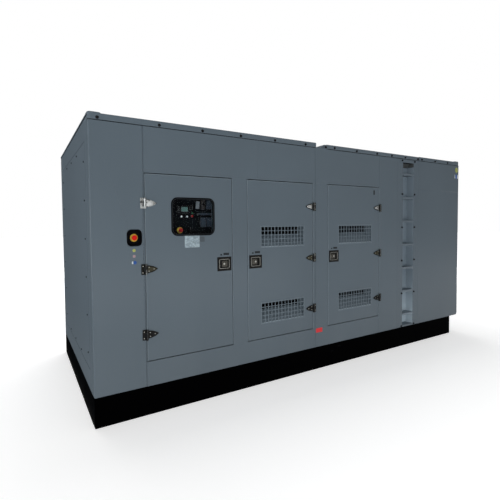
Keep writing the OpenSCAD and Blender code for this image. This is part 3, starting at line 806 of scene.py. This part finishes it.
def flat_marks():
    """Plain discs and plates on the front wall; x is from the canopy's left end."""
    def mark(name, material, x, z, width, height, corner, body="canopy", back=0.0, proud=0.0009):
        low = (LEFT + x - width / 2, FRONT - proud, z - height / 2)
        high = (LEFT + x + width / 2, FRONT - back, z + height / 2)
        fit(plate(name, low, high, corner, 0.0002), material, body)

    mark("lime_disc", LIME, 0.330, 1.358, 0.026, 0.026, 0.0129)
    mark("pink_plate", PINK, 0.330, 1.312, 0.022, 0.022, 0.007)
    mark("blue_disc", COBALT, 0.335, 1.261, 0.027, 0.029, 0.0130)
    mark("white_plate", WHITE, 0.3155, 1.261, 0.011, 0.022, 0.004)
    mark("lime_corner_disc", LIME, 4.952, 2.288, 0.072, 0.072, 0.0359)
    mark("white_corner_plate", WHITE, 4.945, 2.197, 0.084, 0.052, 0.006)
    mark("red_sill_plate", SIGNAL_RED, 2.323, 0.417, 0.096, 0.046, 0.004)
    mark("pale_door_plate", LABEL, 0.8405, 1.4145, 0.141, 0.105, 0.004, "first_door")
    mark("dark_door_strip", STRIP, 3.204, 1.915, 0.024, 0.052, 0.004, "third_door")
    mark("faint_door_plate", FAINT, 0.937, 1.432, 0.044, 0.046, 0.003, "first_door")
    mark("blue_corner_plate", COBALT, 4.942, 2.197, 0.046, 0.060, 0.006, back=0.0004, proud=0.0016)


# ---------- door openings ----------

def door_surrounds():
    """A folded steel stop and a rubber seal behind the edge of each door, front and rear."""
    stops, seals = [], []
    reach, margin, sheet, play = 0.016, 0.012, 0.003, 0.0015
    seal_width, seal_edge = 0.0125, 0.0035
    sides = (((IN_FRONT, IN_FRONT + sheet), (DOOR_BACK + play, IN_FRONT)),
             ((IN_REAR - sheet, IN_REAR), (IN_REAR, REAR - DOOR_T - play)))
    for door, _, _ in DOORS:
        low, high = opening(door)
        for (stop_low, stop_high), (seal_low, seal_high) in sides:
            stops.append(upright_frame(
                "stop", (low.x - margin, stop_low, low.z - margin),
                (high.x + margin, stop_high, high.z + margin), reach + margin))
            seals.append(upright_frame(
                "seal", (low.x + play, seal_low, low.z + play),
                (high.x - play, seal_high, high.z - play), seal_width, edge=seal_edge))
    fit(join("door_stops", stops), CANOPY)
    fit(join("door_seals", seals), RUBBER)


def window_bead():
    """The filler strip in the window rubber."""
    low, high = BOX["window_rubber"]
    inset, proud, deep = 0.0105, 0.0012, 0.004
    bead = upright_frame(
        "window_filler_strip", (low.x + inset, low.y - proud, low.z + inset),
        (high.x - inset, low.y + deep, high.z - inset), border=0.0042, corner=0.048, edge=0.0012)
    fit(bead, STRIP, "first_door")


# ---------- sound-proofing ----------

FOAM_RISE = 0.005
WALL_FOAM_T = 0.030
DOOR_FOAM_T = 0.024
FOAM_LOW = DECK + 0.008
FOAM_HIGH = WALL_TOP - 0.022
# Where the foam on the long walls and the roof stops, short of the foam on the ends
FOAM_LEFT = LEFT + 0.09
FOAM_RIGHT = RIGHT - 0.09


def foam_panel(low, high, out):
    """A foam panel, pressed thin round its border; out points into the room."""
    out, border = Vector(out), 0.022
    panel = block("foam", low, high)
    with Edit(panel) as edit:
        edit.facing(out)
        edit.step(border, out * FOAM_RISE)
    return soften(panel, 0.0035)


def pin_places(low, high, out):
    """Where the retaining pins go on a panel: a grid about half a metre apart."""
    pitch = 0.5
    first, second = [axis for axis in range(3) if not out[axis]]
    deep = 3 - first - second
    spread = []
    for axis in (first, second):
        length = high[axis] - low[axis]
        count = max(1, round(length / pitch))
        spread.append([low[axis] + length * (i + 0.5) / count for i in range(count)])
    places = []
    for a in spread[0]:
        for b in spread[1]:
            place = Vector((0, 0, 0))
            place[first], place[second] = a, b
            place[deep] = (high if out[deep] > 0 else low)[deep] + out[deep] * FOAM_RISE
            places.append(place)
    return places


def foam_pin():
    """A dished washer with the head of its pin."""
    return turned("foam_pin", 0.017, 0.0012, (0.011, -0.0006), (0.002, 0.0016), sides=20)


def lining(name, panels, pin, turn, body="canopy"):
    """Foam panels on one side, with their pins."""
    foam = [foam_panel(*panel) for panel in panels]
    places = [place for panel in panels for place in pin_places(*panel)]
    fit(join(name, foam), FOAM, body)
    fit(copies(pin, name + "_pins", places, turn), ZINC, body)


def wall_panels(low_y, high_y, out, last):
    """Foam on a long wall between, over and under its door openings; last is where it ends."""
    edge = 0.02
    openings = [opening(door) for door, _, _ in DOORS]
    panels = []
    for low, high in openings:
        panels.append(((low.x, low_y, high.z + edge), (high.x, high_y, FOAM_HIGH), out))
        panels.append(((low.x, low_y, FOAM_LOW), (high.x, high_y, low.z - edge), out))
    starts = [FOAM_LEFT] + [high.x + edge for _, high in openings]
    ends = [low.x - edge for low, _ in openings] + [last]
    for low_x, high_x in zip(starts, ends):
        panels.append(((low_x, low_y, FOAM_LOW), (high_x, high_y, FOAM_HIGH), out))
    return panels


def door_panels(index, plane, out):
    """Foam on the back of a door, clear of its window or of its grilles' hoods."""
    margin, clear, beside = 0.034, 0.012, 0.006
    door = DOORS[index][0]
    low_y, high_y = sorted((plane, plane + out * DOOR_FOAM_T))
    low, high = BOX[door]
    panels, holes = [], []
    if index:
        grille_low, grille_high = BOX[door + "_grilles"]
        holes = [(grille_low.z, grille_low.z + GRILLE_H), (grille_high.z - GRILLE_H, grille_high.z)]
    elif out > 0:
        window_low, window_high = BOX["window_rubber"]
        holes = [(window_low.z, window_high.z)]
        low_z, high_z = window_low.z - beside, window_high.z + beside
        for a, b in ((low.x + margin, window_low.x - clear), (window_high.x + clear, high.x - margin)):
            panels.append(((a, low_y, low_z), (b, high_y, high_z), (0, out, 0)))
    edges = [low.z + margin] + [z for hole in holes for z in (hole[0] - clear, hole[1] + clear)]
    edges.append(high.z - margin)
    for a, b in zip(edges[0::2], edges[1::2]):
        panels.append(((low.x + margin, low_y, a), (high.x - margin, high_y, b), (0, out, 0)))
    return panels


def air_deflectors():
    """Foam-faced plates that stand behind the rear grilles' slots, each on two brackets."""
    plates, brackets = [], []
    near, far, past, below, above = REAR - 0.112, REAR - 0.137, 0.012, 0.125, 0.035
    inset, width, lift, sheet, sunk, end = 0.020, 0.030, 0.012, 0.004, 0.002, REAR - 0.040
    for door, _, _ in DOORS[1:]:
        low, high = BOX[door + "_grilles"]
        for top in (low.z + GRILLE_H, high.z):
            plates.append(foam_panel(
                (low.x - past, far, top - below), (high.x + past, near, top + above), (0, -1, 0)))
            for x in (low.x + inset, high.x - inset - width):
                brackets.append(soften(block(
                    "bracket", (x, near - sunk, top + lift), (x + width, end, top + lift + sheet)), 0.0008))
    fit(join("air_deflectors", plates), FOAM)
    fit(join("deflector_brackets", brackets), CANOPY)


def hood_feet():
    """The folded foot of each grille's hood, painted pale as a painted highlight that shows through the
    lowest holes.
    """
    inset, near, far, bottom, top = 0.006, 0.0034, 0.0060, 0.009, 0.019
    for door, body, _ in DOORS[1:]:
        low, high = BOX[door + "_grilles"]
        for name, rides_on, low_y, high_y in (
                (door, body, FRONT + near, FRONT + far), ("rear_" + door, "canopy", REAR - far, REAR - near)):
            feet = [soften(block("foot", (low.x + inset, low_y, level + bottom),
                                 (high.x - inset, high_y, level + top)), 0.0008)
                    for level in (low.z, high.z - GRILLE_H)]
            fit(join(name + "_hood_feet", feet), HIGHLIGHT_FOLD, rides_on)


def long_wall_linings(pin):
    """Foam on the front wall, and on the rear wall with its doors."""
    front = wall_panels(IN_FRONT, IN_FRONT + WALL_FOAM_T, (0, 1, 0), BOX["ladder_surround"][0].x - 0.01)
    front.append(((BOX["corner_panel_right"][0].x + 0.02, IN_FRONT, FOAM_LOW),
                  (FOAM_RIGHT, IN_FRONT + WALL_FOAM_T, FOAM_HIGH), (0, 1, 0)))
    lining("front_wall_foam", front, pin, OUT_REAR)
    rear = wall_panels(IN_REAR - WALL_FOAM_T, IN_REAR, (0, -1, 0), FOAM_RIGHT)
    for i in range(len(DOORS)):
        rear += door_panels(i, REAR - DOOR_T, -1)
    lining("rear_wall_foam", rear, pin, OUT_FRONT)


def end_linings(pin, bays):
    """Foam on both end walls, a panel to a bay."""
    for name, low_x, high_x, out, turn in (
            ("left_end_foam", LEFT + WALL, LEFT + WALL + WALL_FOAM_T, 1, OUT_RIGHT),
            ("right_end_foam", RIGHT - WALL - WALL_FOAM_T, RIGHT - WALL, -1, OUT_LEFT)):
        panels = [((low_x, a, FOAM_LOW), (high_x, b, FOAM_HIGH), (out, 0, 0)) for a, b in bays]
        lining(name, panels, pin, turn)


def roof_lining(pin, bays, seam):
    """Foam under the roof, in panels about 0.8 m long."""
    sheet, length = 0.004, 0.8
    panels = []
    for pan in ROOF_PANS:
        start, end = max(BOX[pan][0].x, FOAM_LEFT), min(BOX[pan][1].x, FOAM_RIGHT)
        count = round((end - start) / length)
        step = (end - start) / count
        panels += [((x, a, WALL_TOP - sheet), (x + step - seam, b, WALL_TOP), (0, 0, -1))
                   for x in run(start, step, count) for a, b in bays]
    lining("roof_foam", panels, pin, Matrix.Rotation(math.radians(180), 4, "X"))


def linings():
    """Foam on the inside of the walls, the roof and the doors, each with its pins."""
    margin, seam = 0.05, 0.006
    width = (IN_REAR - IN_FRONT - 2 * margin) / 3
    bays = [(y, y + width - seam) for y in run(IN_FRONT + margin, width, 3)]
    pin = foam_pin()
    long_wall_linings(pin)
    end_linings(pin, bays)
    roof_lining(pin, bays, seam)
    for i, (door, body, _) in enumerate(DOORS):
        lining(door + "_foam", door_panels(i, DOOR_BACK, 1), pin, OUT_REAR, body)
    scrap(pin)


# ---------- control cabinet ----------

CAB_FRONT = BOX["control_cabinet"][0].y


def on_cabinet(name, material, x, z, proud, corner=0.004, back=0.0, edge=0.001):
    """A plate on the cabinet's front; x and z are its two edges, x from the canopy's left end."""
    low = (LEFT + x[0], CAB_FRONT - proud, z[0])
    high = (LEFT + x[1], CAB_FRONT - back, z[1])
    return fit(plate(name, low, high, corner, edge, 3), material)


def knobs(name, material, places, radius, height, back=0.003):
    """Round buttons with soft crowns, at these x from the canopy's left end and z."""
    button = soften(turned("button", radius, height, (radius * 0.22, radius * 0.14)), radius * 0.08)
    fit(copies(button, name, [(LEFT + x, CAB_FRONT - back, z) for x, z in places], OUT_FRONT), material)
    scrap(button)


def controller():
    """The controller, with its blank keys and display, and the buttons below and beside it."""
    fascia, case = 0.004, 0.018
    on_cabinet("upper_fascia", CABINET, (0.716, 0.946), (1.612, 1.812), fascia)
    on_cabinet("lower_fascia", CABINET, (0.716, 0.946), (1.392, 1.606), fascia - 0.001)
    on_cabinet("controller_case", HOUSING, (0.742, 0.910), (1.648, 1.732), case, 0.006, fascia, 0.003)
    on_cabinet("controller_rim", GREY, (0.781, 0.846), (1.673, 1.717), 0.0190, 0.003, 0.017, 0.0008)
    on_cabinet("controller_display", DISPLAY, (0.785, 0.842), (1.677, 1.713), 0.0198, 0.002, case, 0.0004)
    keys = [(x, z) for z in (1.716, 1.701, 1.686, 1.666) for x in (0.752, 0.766)]
    keys += [(x, 1.661) for x in run(0.788, 0.0125, 5)]
    keys += [(x, z) for z in (1.714, 1.696) for x in (0.860, 0.875, 0.890)]
    knobs("controller_keys", GREY, keys, 0.0040, 0.002, case)
    white, green, red = [(0.788, 1.632), (0.842, 1.632)], (0.888, 1.662), (0.888, 1.636)
    knobs("bezels", GREY, white + [green, red], 0.0105, 0.003)
    knobs("white_buttons", LENS, white, 0.0068, 0.008, fascia)
    knobs("green_button", GREEN, [green], 0.0082, 0.014, fascia)
    knobs("red_button", DEEP_RED, [red], 0.0082, 0.014, fascia)


def lower_controls():
    """The small stop, the rotary switch and the key switch."""
    stop = [(0.772, 1.511)]
    knobs("small_stop_collar", YELLOW, stop, 0.028, 0.003)
    knobs("small_stop_stem", HOUSING, stop, 0.012, 0.018, 0.005)
    knobs("small_stop_head", DEEP_RED, stop, 0.019, 0.010, 0.020)
    knobs("rotary_rose", HOUSING, [(0.866, 1.512)], 0.027, 0.006)
    on_cabinet("rotary_grip", HOUSING, (0.859, 0.873), (1.488, 1.536), 0.030, 0.005, 0.008, 0.003)
    on_cabinet("rotary_pointer", GREY, (0.8642, 0.8678), (1.512, 1.534), 0.0308, 0.001, 0.029, 0.0003)
    knobs("key_rose", GREY, [(0.948, 1.652)], 0.009, 0.006, 0.0)
    on_cabinet("key_blade", GREY, (0.9467, 0.9493), (1.643, 1.661), 0.022, 0.001, 0.004, 0.0006)


def open_board():
    """Relays, a breaker and terminals beside the fascias, and a paper tag that hangs over them."""
    on_cabinet("wiring_duct", BLUE, (0.960, 1.176), (1.646, 1.664), 0.012, 0.002)
    on_cabinet("mounting_rail", BROWN, (0.966, 1.176), (1.560, 1.595), 0.006, 0.001)
    for i, x in enumerate(run(0.973, 0.061, 3), 1):
        on_cabinet("relay_%d" % i, BLUE, (x, x + 0.051), (1.537, 1.622), 0.020, 0.003, 0.005, 0.002)
        on_cabinet("relay_cap_%d" % i, BLUE, (x + 0.007, x + 0.044), (1.556, 1.603), 0.0235, 0.002, 0.019)
    on_cabinet("breaker", BROWN, (0.978, 1.018), (1.695, 1.789), 0.020, 0.003, 0.0, 0.002)
    on_cabinet("breaker_lever", HOUSING, (0.989, 1.007), (1.730, 1.750), 0.027, 0.002, 0.018)
    on_cabinet("terminal_block", BLUE, (1.036, 1.090), (1.700, 1.786), 0.016, 0.003, 0.0, 0.002)
    low, high = (-0.018, CAB_FRONT - 0.0215, -0.034), (0.018, CAB_FRONT - 0.0205, 0.034)
    tag = plate("paper_tag", low, high, 0.004, 0.0003)
    tag.rotation_euler = (0, math.radians(6), 0)
    tag.location = (LEFT + 0.940, 0, 1.734)
    fit(settle(tag, "paper_tag"), PAPER)
    hook = disc("tag_hook", radius=0.0022, height=0.026, sides=12)
    fit(copies(hook, "tag_peg", [(LEFT + 0.942, CAB_FRONT, 1.764)], OUT_FRONT), NICKEL)
    scrap(hook)


finish_frame()
bolt, hexagon, button = flange_bolt(), cover_screw(), button_screw()
roof_bolts(bolt)
ladder_bolts(bolt)
cover_screws(hexagon, "left_end_cover", LEFT, OUT_LEFT)
cover_screws(hexagon, "right_end_cover", RIGHT, OUT_RIGHT)
hinge_details(button)
scrap(bolt, hexagon, button)
lock_trims()
seam_beads()
corner_caps()
roof_gasket_shade_lines()
ladder_hood()
frame_folds()
flat_marks()
door_surrounds()
window_bead()
linings()
hood_feet()
air_deflectors()
controller()
lower_controls()
open_board()


# ---------- studio and camera ----------

def studio_floor():
    """A wide pale floor; what is seen of it, straight or in gloss, is white."""
    deselect()
    bpy.ops.mesh.primitive_plane_add(size=120)
    floor = bpy.context.object
    floor.name = "studio_floor"
    pale = Finish("studio_floor")
    seen = pale.ray("Camera") + pale.ray("Glossy") + pale.ray("Transmission")
    away = pale.node("ShaderNodeVectorMath", {"operation": "LENGTH"}, {0: pale.place}, output=1)
    level = 0.5 + away.rise(3.5, 11.0) * 0.5
    matt = pale.node("ShaderNodeBsdfDiffuse", {}, {"Color": (0.82, 0.82, 0.82)})
    both = pale.node("ShaderNodeAddShader", {}, {0: matt, 1: pale.glow((1, 1, 1), seen * level)})
    floor.data.materials.append(pale.made(both))


def surround():
    """White where it is seen, straight or in gloss, and a lower level for the light that it gives."""
    world = bpy.data.worlds.new("studio_surround")
    bpy.context.scene.world = world
    sky = Shading(world)
    seen = sky.ray("Camera").larger(sky.ray("Glossy")).larger(sky.ray("Transmission"))
    light = 0.26
    level = sky.node("ShaderNodeMapRange", {}, {"Value": seen, "To Min": light})
    white = sky.node("ShaderNodeBackground", {}, {"Color": (1, 1, 1), "Strength": level})
    sky.node("ShaderNodeOutputWorld", {}, {"Surface": white})


def lamp(name, place, aim, size, watts):
    """A rectangular lamp that points from its place at aim."""
    data = bpy.data.lights.new(name, "AREA")
    data.shape = "RECTANGLE"
    data.size, data.size_y = size
    data.energy = watts
    made = bpy.data.objects.new(name, data)
    made.location = place
    made.rotation_euler = (Vector(aim) - Vector(place)).to_track_quat("-Z", "Y").to_euler()
    bpy.context.collection.objects.link(made)


def gloss_only(card):
    """Makes a card that shows as grey in gloss and nowhere else."""
    for kind in ("camera", "diffuse", "transmission", "shadow", "volume_scatter"):
        setattr(card, "visible_" + kind, False)
    grey = Finish(card.name)
    card.data.materials.append(grey.made(grey.glow((0.10, 0.12, 0.14), 1.0)))


def left_flag():
    """A grey card that lies beside the left end and stands up past it, at the rear."""
    near, far, width, height, off_floor, clear = FRONT - 9.0, 10.0, 12.0, 7.0, 0.006, 0.02
    deselect()
    bpy.ops.mesh.primitive_plane_add(
        size=1, location=(LEFT - width / 2 - clear, (near + far) / 2, off_floor))
    card = bpy.context.object
    card.scale = (width, far - near, 1)
    settle(card, "studio_flag")
    with Edit(card) as edit:
        edit.pick("EDGE", lambda edge: all(vert.co.y > far - 0.01 for vert in edge.verts))
        bpy.ops.mesh.extrude_region_move(TRANSFORM_OT_translate={"value": (0, 0, height)})
    gloss_only(card)


def right_flag():
    """A grey card that stands on the floor, off to the right in front of the canopy."""
    size = 8.0
    deselect()
    bpy.ops.mesh.primitive_plane_add(
        size=1, location=(13.0, -6.5, size / 2), rotation=(math.radians(90), 0, 0))
    card = bpy.context.object
    card.scale = (size, size, 1)
    gloss_only(settle(card, "studio_flag_right"))


def camera():
    """Stands off the left front corner at eye height; the lens is shifted a little, as the framing needs."""
    data = bpy.data.cameras.new("camera")
    data.sensor_width = 36
    data.lens = 25.5
    data.shift_x = 0.0738
    data.shift_y = -0.0209
    made = bpy.data.objects.new("camera", data)
    yaw, pitch, roll = (math.radians(angle) for angle in (-28.471, 90 - 2.156, -0.700))
    turn = Matrix.Rotation(yaw, 4, "Z") @ Matrix.Rotation(pitch, 4, "X") @ Matrix.Rotation(roll, 4, "Z")
    made.matrix_world = Matrix.Translation((-2.9558, -3.7420, 1.5434)) @ turn
    bpy.context.collection.objects.link(made)
    bpy.context.scene.camera = made


studio_floor()
surround()
lamp("key", (-7.3, -9.0, 1.05), (-0.2, -1, 1.0), (7, 2.2), 585)
lamp("side", (-11.0, -2.0, 1.3), (-2.5, 0, 1.1), (3, 2.0), 225)
lamp("low", (-0.3, -5.0, 0.3), (-0.3, -1, 0.8), (6, 0.4), 45)
lamp("top", (0.0, -3.0, 9.0), (0, -2, 0), (9, 5), 25)
lamp("roof", (0.0, 2.2, 9.0), (0, 0.4, 0), (9, 4.5), 460)
lamp("rear", (2.5, 10.0, 1.6), (-0.5, 1, 1.1), (7, 2.4), 600)
lamp("right", (11.0, 1.2, 1.4), (2.5, 0, 1.1), (4, 2.4), 290)
left_flag()
right_flag()
camera()
bpy.context.scene.view_settings.view_transform = "Standard"
